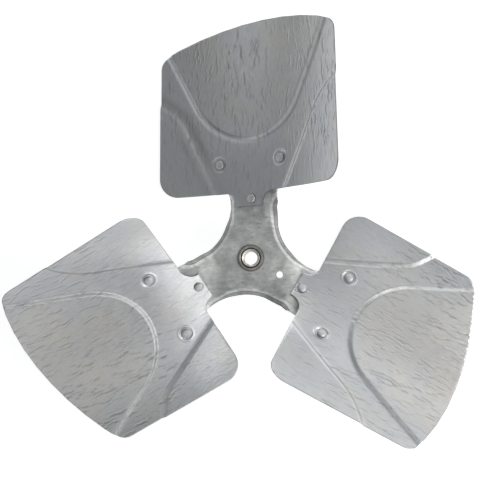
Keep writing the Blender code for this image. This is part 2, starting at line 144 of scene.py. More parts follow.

# Painted highlights and painted shade beside each blade's creases: a field, the distance from its crease, the
# half width, and the strengths at even steps along that run, above zero where a highlight is painted and
# below zero where shade is painted
CREASE_LIGHT_AND_SHADE = (
    (
        (OUTER, -0.0038, 0.0014, 0.80, 0.22, 0.05, 0.0, 0.0),
        (OUTER, -0.0020, 0.0010, 0.0, 0.30, 0.60, 0.30, 0.0, -0.15, 0.08),
        (OUTER, -0.0001, 0.0008, 0.0, -0.25, -0.05, 0.55, 0.05, 0.30, 0.40),
        (OUTER, 0.0013, 0.0011, 0.0, -0.25, -0.08, 0.45, 0.55, 0.60, 0.75),
        (OUTER, 0.0019, 0.0010, -0.10, -0.20, -0.05, 0.0, 0.0),
        (OUTER, 0.0042, 0.0009, 0.0, 0.0, -0.17),
        (TRAILING, -0.0028, 0.0015, 0.24, 0.04, 0.0),
        (TRAILING, -0.0006, 0.0008, -0.24, -0.26, -0.05),
        (TRAILING, 0.0021, 0.0011, 0.15, 0.13, 0.0),
        (LEADING, -0.0070, 0.0040, -0.06, -0.28, -0.20),
        (LEADING, 0.0016, 0.0018, 0.13, 0.14, 0.12),
        (LEADING, 0.0080, 0.0025, -0.08, -0.15, 0.12),
    ),
    (
        (OUTER, 0.0004, 0.0020, 0.12, -0.14, -0.62, -0.05, -0.03, -0.15, -0.08),
        (OUTER, 0.0020, 0.0009, 0.15, 0.10, 0.05, -0.05, -0.25, 0.0, 0.0),
        (OUTER, -0.0026, 0.0014, 0.0, 0.0, 0.0, 0.0, -0.05, -0.20, -0.30),
        (TRAILING, -0.0027, 0.0014, 0.22, 0.22, 0.05),
        (TRAILING, 0.0022, 0.0012, 0.45, 0.38, 0.12),
        (LEADING, -0.0015, 0.0011, 0.45, 0.62, 0.10),
        (LEADING, 0.0002, 0.0010, 0.30, 0.10, 0.22),
        (LEADING, -0.0042, 0.0010, -0.08, -0.17, 0.0),
    ),
    (
        (OUTER, 0.0, 0.0020, -0.25, -0.50, -0.24, -0.28, -0.38, -0.20, -0.14),
        (OUTER, -0.0049, 0.0009, 0.0, 0.0, 0.0, 0.0, 0.05, 0.14, 0.0),
        (OUTER, -0.0030, 0.0006, 0.05, 0.10, 0.0),
        (OUTER, 0.0026, 0.0006, 0.0, 0.08, 0.06),
        (TRAILING, -0.0008, 0.0011, -0.34, -0.34, -0.20),
        (TRAILING, -0.0022, 0.0010, -0.15, 0.0, 0.0),
        (TRAILING, 0.0005, 0.0030, 0.0, 0.0, -0.10),
        (LEADING, -0.0030, 0.0011, -0.40, 0.0, 0.15),
        (LEADING, -0.0010, 0.0011, 0.12, 0.18, 0.60),
        (LEADING, 0.0010, 0.0010, 0.28, 0.34, 0.30),
        (LEADING, 0.0220, 0.0140, 0.16, 0.0, 0.0),
        (LEADING, -0.0140, 0.0090, 0.18, 0.0, 0.0),
        (TRAILING, 0.0200, 0.0150, 0.16, 0.13, 0.0),
    ),
)

# Pressed grain: short wavy grooves that run out along the blade, with raised shoulders
GRAIN_SEED = 11
GRAIN_GROOVES = 900
GRAIN_DEPTH = 0.00018
GRAIN_HALF_WIDTH = 0.00072
GRAIN_WIDTH_SPREAD = (0.8, 1.4)
GRAIN_HALF_LENGTH = 0.0030
GRAIN_LONGER = 0.0090
GRAIN_SWAY = (0.0002, 0.0011)
GRAIN_WAVE = (0.009, 0.020)
GRAIN_KINK = (0.0001, 0.0005)
GRAIN_KINK_WAVE = 0.0047
GRAIN_LEANS = (0.0, -0.04, 0.06)
GRAIN_LEAN_SPREAD = 0.13
GRAIN_STRENGTH = (0.15, 1.0)
GRAIN_STRENGTH_POWER = 1.6
GRAIN_STRONGER = (0.085, 0.135)
GRAIN_STRENGTH_AT_ROOT = 0.5
GRAIN_REACH = 0.008
GRAIN_SHOULDERS = ((1.9, 0.5), (-1.9, 0.3))

# Share of the grain that each blade's leading wing has lost, and how far from its crease that sets in
LEADING_WING_CALM = (0.2, 0.45, 0.5)
LEADING_WING_CALM_REACH = 0.012

# The back of the blade has no grain where it lies on the pad
PAD_CALM = (0.060, 0.070)

# Mesh of the blade, with its ramp lines at shares of the ramp's half width and rings round each rivet
OUTLINE_STEP = 0.0016
BLADE_EDGE_MARGIN = 2.2 * EDGE_ROUND
GRID_ACROSS = 0.00060
GRID_OUT = 0.0019
RAMP_STEP = 0.0020
RAMP_MARGIN = 0.0013
RAMP_LINES = (0.0, 0.4, 0.6, 0.75, 0.9, 1.05, 1.2, 1.4)
HOLE_MARGIN = 0.0006
SEAT_REACH = 0.0098
SEAT_RINGS = 13
SEAT_SIDES = 48
SEAT_RING_FIRST = 0.0033
SEAT_RING_STEP = 0.0005

# Step between the blades in the space of the noise, so that their patches differ
BLANK_STEP = 0.3

# Slow bow of the sheet towards its root, which shows only in its sheen
ROOT_BOW = 0.0070
ROOT_BOW_REACH = (0.045, 0.113)

# Rivets
OUTER_RIVETS = ((-0.0333, 0.0904), (0.0354, 0.0934))
ROOT_RIVET = (0.0018, 0.0566)
RIVET_HEAD_RADIUS = 0.0043
RIVET_HEAD_HEIGHT = 0.0021
RIVET_HEAD_EDGE = 0.0004
RIVET_HEAD_UNDERCUT = 0.0001
RIVET_HEAD_FULLNESS = 0.65
RIVET_HEAD_STEPS = 12
RIVET_SHANK_RADIUS = 0.0024
RIVET_HOLE_RADIUS = RIVET_SHANK_RADIUS + GAP
RIVET_SIDES = 48

# Half section of a rivet's upset tail: radius, and depth behind the spider
RIVET_TAIL = (
    (0.0, 0.0013),
    (0.0012, 0.0015),
    (0.0023, 0.0016),
    (0.0033, 0.0012),
    (0.0037, 0.0007),
    (0.0037, 0.0),
)

# Spider
GAP_CIRCLE_DISTANCE = 0.0829
GAP_CIRCLE_RADIUS = 0.0479
GAP_CIRCLE_TURN = 2.7
SCALLOP_SWEEP = 46.0
TWIST_START = 0.0290
TWIST_END = 0.0498
TWIST_EASE = 0.22
PAD_TIP = 0.1035
PAD_CORNER = 0.007
PAD_CORNER_REACH = 0.0122
PAD_MARGIN = 0.0050
FLANGE_WIDTH = 0.0033
FLANGE_SLOPE = 0.90
FLANGE_BEND = 0.0036
FLANGE_FADE = (0.050, 0.066)
RIM_WIDTH = FLANGE_WIDTH + FLANGE_BEND
FLANK_START = 0.0136
FLANK_BEND = 0.0015
FLANK_SLOPE = 0.42
FLANK_WIDTH = 0.0075
FLANK_RUN_IN = (0.032, 0.042)
FLANK_RUN_OUT = (0.062, 0.072)
FLANK_FLANGE_SHARE = 0.45
NECK_ALLOWANCE = 0.0030
NECK_ALLOWANCE_PLACE = 0.0490
NECK_ALLOWANCE_REACH = 0.0085
NECK_TRAILING_LIMIT = 0.0272
NECK_TRAILING_SLOPE = 0.09
NECK_TRAILING_RELEASE = 0.0655
NECK_TRAILING_SPREAD = 1.5
ARM_STEPS = 24
SPIDER_GRID = 0.0010
RIM_RINGS = 12
RIM_SWEEP = 138.0
RIM_STEPS = 144
SPIDER_EDGE_MARGIN = 0.0008

# Hub
BORE_RADIUS = 0.00635
HUB_FLANGE_RADIUS = 0.0119
HUB_FLANGE_TOP = 0.0016
HUB_FLANGE_EDGE = 0.0004
HUB_NECK_RADIUS = 0.0084
HUB_BARREL_RADIUS = 0.0111
HUB_BACK = -0.0152
HUB_BACK_CHAMFER = 0.0006
HUB_BORE_CHAMFER = 0.0011
HUB_SIDES = 96
SPIDER_HOLE_RADIUS = HUB_NECK_RADIUS + GAP
INDEX_HOLE_RADIUS = 0.003175
INDEX_HOLE_DISTANCE = 0.03175

# Groove and lip on the hub's front, towards the bore: radius, and height over the flange
HUB_FACE = (
    (0.0101, 0.0),
    (0.0097, -0.0003),
    (0.0092, -0.0008),
    (0.0088, -0.0004),
    (0.0086, 0.0),
    (0.0083, 0.0004),
    (0.0080, 0.0005),
    (0.0076, 0.0003),
    (0.00645, -0.0007),
)

# Set screw
SCREW_RADIUS = 0.0030
SCREW_NECK_RADIUS = 0.0028
SCREW_HEIGHT = -0.0088
SCREW_ANGLE = 30.0
SCREW_THREAD_START = 0.0080
SCREW_THREAD_PITCH = 0.0010
SCREW_THREAD_DEPTH = 0.0005
SCREW_SIDES = 32

# Sections of the screw: radius or half width of the square, and distance from the shaft axis
SCREW_TIP = ((0.0021, 0.0066), (0.0026, 0.0076))
SCREW_HEAD = ((0.0034, 0.0120), (0.0037, 0.0123), (0.0037, 0.0173), (0.0035, 0.0177), (0.0027, 0.0180))

# Painted shade: a darker line along a blade's edge, shade just outside each rivet's head and a shadow just
# outside the hub's flange, and the span of the hub's face in which shade is painted in its groove and round
# its rim
EDGE_SHADE_WIDTH = 0.0006
RIVET_SHADE_REACH = (0.0044, 0.0054)
FLANGE_SHADOW_REACH = (0.0121, 0.0136)
HUB_SHADE_REACH = (0.0060, 0.0125)

# Floor: paper that glows evenly near the object and fades a little farther away
FLOOR_HALF_WIDTH = 6.0
FLOOR_GAP = 0.0004
FLOOR_FADE = (0.37, 0.70)
FLOOR_GLOW_NEAR = 0.72
FLOOR_GLOW_FAR = 0.25


# Flat outlines

def direction(point_a, point_b):
    step = np.subtract(point_b, point_a)
    return step / np.linalg.norm(step)


def arc(centre, radius, start, sweep, sides):
    """Points at even steps along an arc, which turns by sweep from the angle start."""
    angles = [start + sweep * i / sides for i in range(sides + 1)]
    return [(centre[0] + radius * math.cos(a), centre[1] + radius * math.sin(a)) for a in angles]


def fillet(before, corner, after, radius, sides):
    """Points of the arc that rounds a corner between two straight runs."""
    towards_before = direction(corner, before)
    towards_after = direction(corner, after)
    cosine = float(np.clip(np.dot(towards_before, towards_after), -1.0, 1.0))
    half = math.acos(cosine) / 2.0
    reach = radius / math.tan(half)
    bisector = towards_before + towards_after
    bisector /= np.linalg.norm(bisector)
    centre = np.add(corner, bisector * radius / math.sin(half))
    first = np.add(corner, towards_before * reach) - centre
    last = np.add(corner, towards_after * reach) - centre
    start = math.atan2(first[1], first[0])
    sweep = math.atan2(last[1], last[0]) - start
    sweep = (sweep + math.pi) % (2.0 * math.pi) - math.pi
    return arc(centre, radius, start, sweep, sides)


def rounded_outline(corners):
    """A closed outline from (s, v, radius, sides) corners."""
    points = []
    for index, (s, v, radius, sides) in enumerate(corners):
        before = corners[index - 1][:2]
        after = corners[(index + 1) % len(corners)][:2]
        if radius > 0.0:
            points += fillet(before, (s, v), after, radius, sides)
        else:
            points.append((s, v))
    return points


def circle(centre, radius, sides):
    return arc(centre, radius, 0.0, 2.0 * math.pi, sides)[:-1]


def looped(outline):
    """A closed outline as a path that ends where it starts."""
    return outline + outline[:1]


def divided(path, step):
    """The same path with a point at least every step."""
    result = []
    for a, b in zip(path, path[1:]):
        count = max(1, math.ceil(math.dist(a, b) / step))
        result += [(a[0] + (b[0] - a[0]) * i / count, a[1] + (b[1] - a[1]) * i / count) for i in range(count)]
    return result + [path[-1]]


def offset_path(path, distance, closed=False):
    """A path moved sideways, to its left when distance is positive."""
    points = np.array(path)
    if closed:
        tangents = np.roll(points, -1, axis=0) - np.roll(points, 1, axis=0)
    else:
        steps = np.diff(points, axis=0)
        steps /= np.linalg.norm(steps, axis=1)[:, None]
        tangents = np.vstack([steps[:1], steps[:-1] + steps[1:], steps[-1:]])
    tangents = tangents / np.linalg.norm(tangents, axis=1)[:, None]
    normals = np.column_stack([-tangents[:, 1], tangents[:, 0]])
    return (points + normals * distance).tolist()


def signed_distances(path, points):
    """Distances from points to an open path, positive on the path's left."""
    start = np.array(path[:-1])
    step = np.array(path[1:]) - start
    best = np.full(len(points), np.inf)
    signed = np.full(len(points), np.inf)
    for (x0, y0), (dx, dy) in zip(start, step):
        ax = points[:, 0] - x0
        ay = points[:, 1] - y0
        along = np.clip((ax * dx + ay * dy) / (dx * dx + dy * dy), 0.0, 1.0)
        length = np.hypot(ax - along * dx, ay - along * dy)
        side = np.sign(dx * ay - dy * ax)
        closer = length < best
        best = np.where(closer, length, best)
        signed = np.where(closer, length * side, signed)
    return signed


def distances(centre, points):
    return np.hypot(points[:, 0] - centre[0], points[:, 1] - centre[1])


def inside(polygon, points):
    """True for each point that lies in a polygon."""
    x, y = points[:, 0], points[:, 1]
    result = np.zeros(len(points), bool)
    for index, (x1, y1) in enumerate(polygon):
        x0, y0 = polygon[index - 1]
        if y0 == y1:
            continue
        result ^= ((y0 > y) != (y1 > y)) & (x < x0 + (x1 - x0) * (y - y0) / (y1 - y0))
    return result


def triangulate(outline, holes, paths, loose):
    """Counter-clockwise triangles of a flat outline with holes, through paths and loose points."""
    points = []
    edges = []
    for ring in [outline, *holes]:
        first = len(points)
        points += ring
        edges += [(first + i, first + (i + 1) % len(ring)) for i in range(len(ring))]
    for path in paths:
        first = len(points)
        points += path
        edges += [(first + i, first + i + 1) for i in range(len(path) - 1)]
    points += loose
    flat, _, faces, *_ = delaunay_2d_cdt([Vector(p) for p in points], edges, [], 0, 1e-5)
    flat = np.array([tuple(p) for p in flat])
    faces = np.array([list(face) for face in faces if len(face) == 3])
    middle = flat[faces].mean(axis=1)
    kept = inside(outline, middle)
    for hole in holes:
        kept &= ~inside(hole, middle)
    faces = faces[kept]
    a, b, c = (flat[faces[:, i]] for i in range(3))
    turn = (b[:, 0] - a[:, 0]) * (c[:, 1] - a[:, 1]) - (b[:, 1] - a[:, 1]) * (c[:, 0] - a[:, 0])
    faces[turn < 0.0] = faces[turn < 0.0][:, ::-1]
    used = np.unique(faces)
    order = np.full(len(flat), -1)
    order[used] = np.arange(len(used))
    return flat[used], order[faces]


def boundary_edges(faces):
    """Directed edges that only one triangle has."""
    edges = np.vstack([faces[:, [0, 1]], faces[:, [1, 2]], faces[:, [2, 0]]])
    keys = np.sort(edges, axis=1)
    _, first, count = np.unique(keys, axis=0, return_index=True, return_counts=True)
    return edges[first[count == 1]]


def clear_of(points, path, margin):
    return points[np.abs(signed_distances(path, points)) > margin]


def staggered_grid(outline, step_across, step_out):
    """Points inside an outline, in rows that are shifted by turns."""
    low = np.min(outline, axis=0)
    high = np.max(outline, axis=0)
    across = np.arange(low[0], high[0], step_across)
    rows = np.arange(low[1], high[1], step_out)
    grid = np.array([(s + (i % 2) * step_across / 2.0, v) for i, v in enumerate(rows) for s in across])
    return grid[inside(outline, grid)]


# Smooth curves

def smooth_step(value, low, high):
    share = np.clip((value - low) / (high - low), 0.0, 1.0)
    return share * share * (3.0 - 2.0 * share)


def hill(value, half_width):
    """1 at zero, falling away smoothly on both sides."""
    return np.exp(-((value / half_width) ** 2))


def soft_clamp(share, rounding):
    """A 0 to 1 ramp with rounded ends."""
    def bend(x):
        return rounding * np.logaddexp(0.0, x / rounding)
    return bend(share) - bend(share - 1.0)


def eased(value, low, high, ease):
    """A steady 0 to 1 rise that starts and stops gently, each over a given share of its length."""
    share = np.clip((value - low) / (high - low), 0.0, 1.0)
    scale = 2.0 * ease * (1.0 - ease)
    rise = np.where(share < ease, share ** 2 / scale, (share - ease / 2.0) / (1.0 - ease))
    return np.where(share > 1.0 - ease, 1.0 - (1.0 - share) ** 2 / scale, rise)


# Meshes and looks of pieces

def new_mesh(name, points, faces):
    mesh = bpy.data.meshes.new(name)
    mesh.from_pydata(points, [], faces)
    mesh.update()
    return mesh


def new_object(name, data):
    item = bpy.data.objects.new(name, data)
    bpy.context.scene.collection.objects.link(item)
    return item


def sheet_piece(name, front, back, faces, marks):
    """A closed sheet between a front and a back surface, with numbers kept on its points."""
    count = len(front)
    rim = boundary_edges(faces)
    walls = [(b, a, a + count, b + count) for a, b in rim.tolist()]
    all_faces = faces.tolist() + (faces[:, ::-1] + count).tolist() + walls
    mesh = new_mesh(name, np.vstack([front, back]).tolist(), all_faces)
    for label, values in marks.items():
        kind, field = ("FLOAT", "value") if values.ndim == 1 else ("FLOAT_VECTOR", "vector")
        layer = mesh.attributes.new(label, kind, "POINT")
        layer.data.foreach_set(field, np.concatenate([values, values]).astype(np.float32).ravel())
    return finish_piece(name, mesh)


def finish_piece(name, mesh, sharp_degrees=40.0):
    mesh.polygons.foreach_set("use_smooth", [True] * len(mesh.polygons))
    mesh.set_sharp_from_angle(angle=math.radians(sharp_degrees))
    return new_object(name, mesh)


def stand_for(piece, node, material):
    piece.data.materials.append(material)
    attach(piece, "root")
    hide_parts(node)


def bent_section(s, lift, turn):
    """Place across the arm and height of points, with turn 0 flat and 1 fully pitched."""
    turn = np.maximum(turn, 1e-6)
    pitch = math.radians(PITCH) * turn
    radius = BEND_RADIUS / turn
    angle = pitch + s / (radius - lift)
    across = -radius * np.sin(pitch) + (radius - lift) * np.sin(angle)
    height = radius * np.cos(pitch) - (radius - lift) * np.cos(angle)
    return across, height


def bent_points(place, lift, turn):
    """Points of arm 1 in space, from their places in the flat blank."""
    across, height = bent_section(place[:, 0], lift, turn)
    return np.column_stack([across, place[:, 1], height])


def edge_drop(to_edge):
    """How far the sheet's front is rounded off near its edge."""
    return EDGE_DROP * np.clip(1.0 - to_edge / EDGE_ROUND, 0.0, 1.0)


def arm_turn(index):
    """Rotation that carries blade 1's place to that of another blade."""
    return Matrix.Rotation(-2.0 * math.pi * index / BLADES, 4, "Z")


def turned_about_axis(points, index):
    rotation = np.array(arm_turn(index).to_3x3())
    return points @ rotation.T


def turned_flat(points, index):
    flat = np.column_stack([points, np.zeros(len(points))])
    return turned_about_axis(flat, index)[:, :2]


# Blades

def v_path():
    """Middle of the ramp round the raised outer field: two arms and a round bottom."""
    half = math.radians(V_HALF_ANGLE)
    spread = (FIELD_REACH - V_APEX) * math.tan(half)
    left = (-spread, FIELD_REACH)
    right = (spread, FIELD_REACH)
    return [left, *fillet(left, (0.0, V_APEX), right, V_FILLET, sides=28), right]


def wing_path(inner, corner, outer_slope, radius):
    """Middle of the ramp along a raised wing, from the side edge in to the inner edge."""
    slope = (corner[1] - inner[1]) / (corner[0] - inner[0])
    start = (inner[0] - WING_RUN_IN, inner[1] - WING_RUN_IN * slope)
    end = (corner[0] + WING_RUN_OUT, corner[1] + WING_RUN_OUT * outer_slope)
    return [end, *fillet(end, corner, start, radius, sides=16), start]


def blade_outline():
    """The flat blank, counter-clockwise from the root end of the leading edge."""
    def inner_edge(s):
        return INNER_EDGE + INNER_EDGE_SLOPE * s

    taper = (TRAILING_EDGE_TIP - TRAILING_EDGE_ROOT) / (TRAILING_TIP_OUT - TRAILING_ROOT_OUT)
    trailing_v = inner_edge(TRAILING_EDGE_ROOT)
    trailing_s = TRAILING_EDGE_ROOT + taper * (trailing_v - TRAILING_ROOT_OUT)
    tip_s = TRAILING_EDGE_TIP + taper * TIP_CORNER_BEYOND
    first, last = (math.acos((s - TIP_ARC_CENTRE[0]) / TIP_ARC_RADIUS) for s in (tip_s, LEADING_EDGE))
    tip = arc(TIP_ARC_CENTRE, TIP_ARC_RADIUS, first, last - first, TIP_ARC_STEPS)
    return rounded_outline([
        (LEADING_EDGE, inner_edge(LEADING_EDGE), CORNER_INNER, 14),
        (-NECK_HALF_WIDTH, inner_edge(-NECK_HALF_WIDTH), NECK_FILLET, 12),
        (-NECK_HALF_WIDTH, NECK_END, 0.0, 0),
        (NECK_HALF_WIDTH, NECK_END, 0.0, 0),
        (NECK_HALF_WIDTH, inner_edge(NECK_HALF_WIDTH), NECK_FILLET, 12),
        (trailing_s, trailing_v, CORNER_INNER, 14),
        (*tip[0], CORNER_TIP, 12),
        *[(*point, 0.0, 0) for point in tip[1:-1]],
        (*tip[-1], CORNER_TIP, 12),
    ])


def relief_fields():
    """Paths round the raised fields, each of which lies on the left of its path."""
    trailing = wing_path(
        TRAILING_WING_START, TRAILING_WING_CORNER, TRAILING_WING_OUTER_SLOPE, TRAILING_WING_FILLET
    )
    leading = wing_path(WING_START, WING_CORNER, WING_OUTER_SLOPE, WING_FILLET)
    return [v_path(), trailing, [(-s, v) for s, v in reversed(leading)]]


def blade_relief(points, fields):
    """Height of the pressed relief over the low channel."""
    lift = np.zeros(len(points))
    grown = smooth_step(points[:, 1], *FIELD_GROWTH)
    outer_size = FIELD_SHARE_AT_APEX + (1.0 - FIELD_SHARE_AT_APEX) * grown
    widths = (RAMP_WIDTH * outer_size, WING_RAMP_WIDTH, WING_RAMP_WIDTH)
    heights = (EMBOSS_HEIGHT * outer_size, WING_HEIGHT, WING_HEIGHT)
    for path, width, height in zip(fields, widths, heights):
        share = 0.5 + signed_distances(path, points) / width
        lift = np.maximum(lift, height * soft_clamp(share, RAMP_ROUNDING))
    return lift


def painted_crease_light(points, fields, index):
    """Lines of painted highlight and painted shade beside one blade's creases, and a painted highlight on its
    beads.
    """
    marks = np.zeros(len(points))
    for field, distance, half_width, *strengths in CREASE_LIGHT_AND_SHADE[index]:
        axis, first, last = CREASE_LIGHT_RUNS[field]
        along = (points[:, axis] - first) / (last - first)
        beside = signed_distances(fields[field], points) - distance
        strength = np.interp(along, np.linspace(0.0, 1.0, len(strengths)), strengths)
        marks += strength * hill(beside, half_width)
    for rivet in OUTER_RIVETS:
        marks += BEAD_HIGHLIGHT * hill(distances(rivet, points) - BEAD_RADIUS, BEAD_HIGHLIGHT_HALF_WIDTH)
    return marks


def rivet_seats(points):
    """Bead round each outer rivet and the shallow dimple inside it, on the front only."""
    lift = np.zeros(len(points))
    for rivet in OUTER_RIVETS:
        distance = distances(rivet, points)
        lift += BEAD_HEIGHT * hill(distance - BEAD_RADIUS, BEAD_HALF_WIDTH)
        lift -= DIMPLE_DEPTH * hill(distance - DIMPLE_RADIUS, DIMPLE_HALF_WIDTH)
    return lift


def grain(points, index):
    """Depth of the pressed grain, a scatter of short wavy grooves along the blade."""
    dice = np.random.default_rng(GRAIN_SEED + index)
    low = points.min(axis=0)
    high = points.max(axis=0)
    depth = np.zeros(len(points))
    for _ in range(GRAIN_GROOVES):
        s0 = dice.uniform(low[0], high[0])
        v0 = dice.uniform(low[1], high[1])
        half = GRAIN_HALF_LENGTH + GRAIN_LONGER * dice.uniform(0.0, 1.0) ** 2
        sway = dice.uniform(*GRAIN_SWAY)
        wave = dice.uniform(*GRAIN_WAVE)
        phase = dice.uniform(0.0, 2.0 * math.pi)
        lean = dice.normal(GRAIN_LEANS[index], GRAIN_LEAN_SPREAD)
        kink = dice.uniform(*GRAIN_KINK)
        growth = (1.0 - GRAIN_STRENGTH_AT_ROOT) * smooth_step(v0, *GRAIN_STRONGER)
        strength = dice.uniform(*GRAIN_STRENGTH) ** GRAIN_STRENGTH_POWER * (GRAIN_STRENGTH_AT_ROOT + growth)
        width = GRAIN_HALF_WIDTH * dice.uniform(*GRAIN_WIDTH_SPREAD)
        out = points[:, 1] - v0
        near = (np.abs(out) < half) & (np.abs(points[:, 0] - s0) < GRAIN_REACH)
        out = out[near]
        middle = s0 + lean * out + sway * np.sin(2.0 * math.pi * out / wave + phase)
        middle = middle + kink * np.sin(2.0 * math.pi * out / GRAIN_KINK_WAVE + 3.0 * phase)
        across = (points[near, 0] - middle) / width
        groove = hill(across, 1.0)
        for place, share in GRAIN_SHOULDERS:
            groove = groove - share * hill(across - place, 1.0)
        taper = 1.0 - (out / half) ** 4
        depth[near] += strength * taper * groove
    return depth


def blade_points(outline, fields):
    """Loose points of the blade's mesh: a fine grid, left out where ramps and beads have their own."""
    grid = staggered_grid(outline, GRID_ACROSS, GRID_OUT)
    grid = clear_of(grid, looped(outline), BLADE_EDGE_MARGIN)
    for path in fields:
        grid = clear_of(grid, path, RAMP_WIDTH / 2.0 + RAMP_MARGIN)
    for rivet in OUTER_RIVETS:
        grid = grid[distances(rivet, grid) > SEAT_REACH]
    grid = grid[distances(ROOT_RIVET, grid) > RIVET_HOLE_RADIUS + HOLE_MARGIN]
    loose = grid.tolist()
    for rivet in OUTER_RIVETS:
        for ring in range(SEAT_RINGS):
            loose += circle(rivet, SEAT_RING_FIRST + ring * SEAT_RING_STEP, SEAT_SIDES)
    return loose


def ramp_lines(fields):
    """Lines of the mesh along both sides and the middle of each ramp."""
    shares = [-share for share in RAMP_LINES[:0:-1]] + list(RAMP_LINES)
    return [
        divided(offset_path(path, share * RAMP_WIDTH / 2.0), RAMP_STEP)
        for path in fields
        for share in shares
    ]


def build_blades(material):
    outline = divided(looped(blade_outline()), OUTLINE_STEP)[:-1]
    inset = offset_path(outline, EDGE_ROUND, closed=True)
    rivets = (*OUTER_RIVETS, ROOT_RIVET)
    holes = [circle(rivet, RIVET_HOLE_RADIUS, sides=28) for rivet in rivets]
    fields = relief_fields()
    loose = blade_points(outline, fields)
    flat, faces = triangulate(outline, holes, [looped(inset), *ramp_lines(fields)], loose)

    relief = blade_relief(flat, fields)
    seats = rivet_seats(flat)
    to_edge = np.abs(signed_distances(looped(outline), flat))
    drop = edge_drop(to_edge)
    on_pad = 1.0 - smooth_step(flat[:, 1], *PAD_CALM)
    to_rivet = np.min([distances(rivet, flat) for rivet in rivets], axis=0)
    in_field = smooth_step(signed_distances(fields[OUTER], flat), *FIELD_TINT_REACH)
    on_wing = smooth_step(signed_distances(fields[LEADING], flat), 0.0, LEADING_WING_CALM_REACH)
    for index in range(BLADES):
        depth = grain(flat, index) * (1.0 - LEADING_WING_CALM[index] * on_wing)
        front_lift = GAP + BLADE_SHEET + (relief - GRAIN_DEPTH * depth) + seats - drop
        raised = GRAIN_DEPTH * np.minimum(depth, 0.0) * (1.0 - on_pad)
        back_lift = GAP + relief - raised + drop * BACK_EDGE_DROP_SHARE
        front = turned_about_axis(bent_points(flat, front_lift, 1.0), index)
        back = turned_about_axis(bent_points(flat, back_lift, 1.0), index)
        marks = {
            "blank": np.column_stack([flat, np.full(len(flat), BLANK_STEP * index)]),
            "groove": np.clip(depth, 0.0, 1.0),
            "to_edge": to_edge,
            "to_rivet": to_rivet,
            # Painted highlights and painted shade beside the creases, and a painted highlight on the beads
            "crease_light": painted_crease_light(flat, fields, index),
            "in_field": in_field,
        }
        piece = sheet_piece(f"pressed_blade_{index + 1}", front, back, faces, marks)
        stand_for(piece, f"blade_{index + 1}", material)


# Spider

def gap_circle_centre(side):
    """Centre of the scallop on the right (1) or left (-1) of arm 1."""
    angle = math.radians(90.0 - side * 60.0 - GAP_CIRCLE_TURN)
    return GAP_CIRCLE_DISTANCE * math.cos(angle), GAP_CIRCLE_DISTANCE * math.sin(angle)


def gap_centres():
    """Centres of all scallops."""
    return [arm_turn(index) @ Vector((*gap_circle_centre(1), 0.0)) for index in range(BLADES)]


def neck_allowance(side, v):
    """Extra width of the leading side (-1) at the neck, where the flange leans in under the arm."""
    return np.where(side < 0, NECK_ALLOWANCE * hill(v - NECK_ALLOWANCE_PLACE, NECK_ALLOWANCE_REACH), 0.0)


def scallop_edge(side, v):
    centre_s, centre_v = gap_circle_centre(side)
    return centre_s - side * math.sqrt(GAP_CIRCLE_RADIUS ** 2 - (v - centre_v) ** 2)


def pad_limit(v):
    """Half-width that keeps the pad inside the blade's low channel."""
    slope = (WING_CORNER[1] - WING_START[1]) / (WING_CORNER[0] - WING_START[0])
    return WING_START[0] + (v - WING_START[1]) / slope - PAD_MARGIN


def arm_side(side):
    """One side of arm 1, from the middle of the gap out to the top of the pad."""
    centre = gap_circle_centre(side)
    middle = math.atan2(-centre[1], -centre[0])
    sweep = math.radians(-side * SCALLOP_SWEEP)
    scallop = arc(centre, GAP_CIRCLE_RADIUS, middle, sweep, ARM_STEPS)
    points = [(s + side * neck_allowance(side, v), v) for s, v in scallop]
    start_v = points[-1][1]
    end_v = PAD_TIP - PAD_CORNER_REACH
    for i in range(1, ARM_STEPS + 1):
        v = start_v + (end_v - start_v) * i / ARM_STEPS
        wide = pad_limit(v)
        if abs(v - centre[1]) < GAP_CIRCLE_RADIUS:
            wide = min(wide, abs(scallop_edge(side, v)) + neck_allowance(side, v))
        if side > 0:
            limit = NECK_TRAILING_LIMIT + NECK_TRAILING_SLOPE * max(0.0, v - TWIST_END)
            wide = min(wide, limit + NECK_TRAILING_SPREAD * max(0.0, v - NECK_TRAILING_RELEASE))
        points.append((side * wide, v))
    below = (side * pad_limit(WING_START[1]), WING_START[1])
    corner = (side * pad_limit(PAD_TIP), PAD_TIP)
    return points + fillet(below, corner, (0.0, PAD_TIP), PAD_CORNER, sides=10)


def spider_outline():
    outline = []
    for index in range(BLADES):
        ring = np.array(arm_side(-1)[1:] + arm_side(1)[::-1])
        outline += turned_flat(ring, index).tolist()
    return outline[::-1]


def arm_places(points):
    """For each point, the arm that it belongs to and its place (s, v) in that arm's blank."""
    places = np.stack([turned_flat(points, -k) for k in range(BLADES)])
    index = places[:, :, 1].argmax(axis=0)
    return index, places[index, np.arange(len(points))]


def rim_inset(points, place):
    """Distance of each point from the nearest scallop's edge."""
    inset = np.min([distances(centre, points) for centre in gap_centres()], axis=0) - GAP_CIRCLE_RADIUS
    return inset + neck_allowance(place[:, 0], place[:, 1])


def flange_drop(inset):
    """How far the turned-down edge lies below the plate: a straight flange, then its bend."""
    beyond = np.clip(RIM_WIDTH - inset, 0.0, FLANGE_BEND)
    flange = np.clip(FLANGE_WIDTH - inset, 0.0, FLANGE_WIDTH)
    return FLANGE_SLOPE * (beyond ** 2 / (2.0 * FLANGE_BEND) + flange)


def flank_window(place):
    """1 on the trailing side of the neck and 0 away from it."""
    window = smooth_step(place[:, 1], *FLANK_RUN_IN) * (1.0 - smooth_step(place[:, 1], *FLANK_RUN_OUT))
    return np.where(place[:, 0] > 0.0, window, 0.0)


def flank_drop(place):
    """How far the trailing flank of the neck leans down beside the flat that carries the blade."""
    beyond = np.clip(place[:, 0] - FLANK_START, 0.0, FLANK_WIDTH)
    lean = np.where(beyond < FLANK_BEND, beyond ** 2 / (2.0 * FLANK_BEND), beyond - FLANK_BEND / 2.0)
    return FLANK_SLOPE * lean * flank_window(place)


